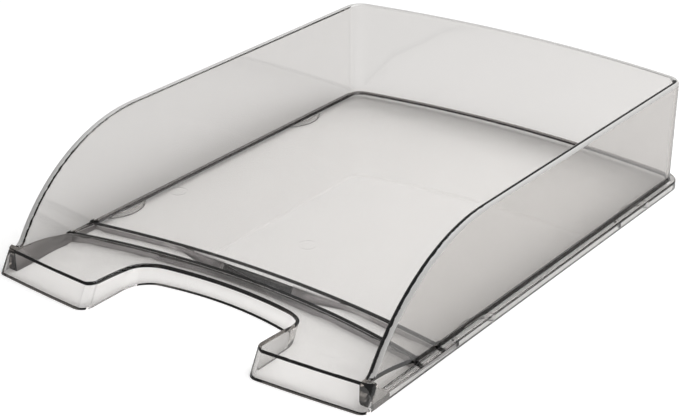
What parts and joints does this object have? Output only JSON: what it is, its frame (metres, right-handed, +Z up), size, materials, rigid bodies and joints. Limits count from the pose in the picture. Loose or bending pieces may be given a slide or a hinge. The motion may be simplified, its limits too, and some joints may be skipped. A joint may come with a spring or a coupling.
{
  "type": "letter tray",
  "caption": "Clear smoke-grey desk letter tray for A4 paper: bowed back wall, side walls that sweep down to front lugs, a finger cut-out and a stacking skirt.",
  "frame": {"origin": "on the table under the middle of the tray's bounding box", "axes": "+Y from the open front to the back wall, +X across the width to the right as seen from the front, +Z up"},
  "size_m": [0.255, 0.357, 0.07],
  "materials": {
    "smoke_polystyrene": "clear smoke-grey injection moulding, polished"
  },
  "bodies": {
    "root": {"letter_tray": "smoke_polystyrene"}
  },
  "joints": []
}
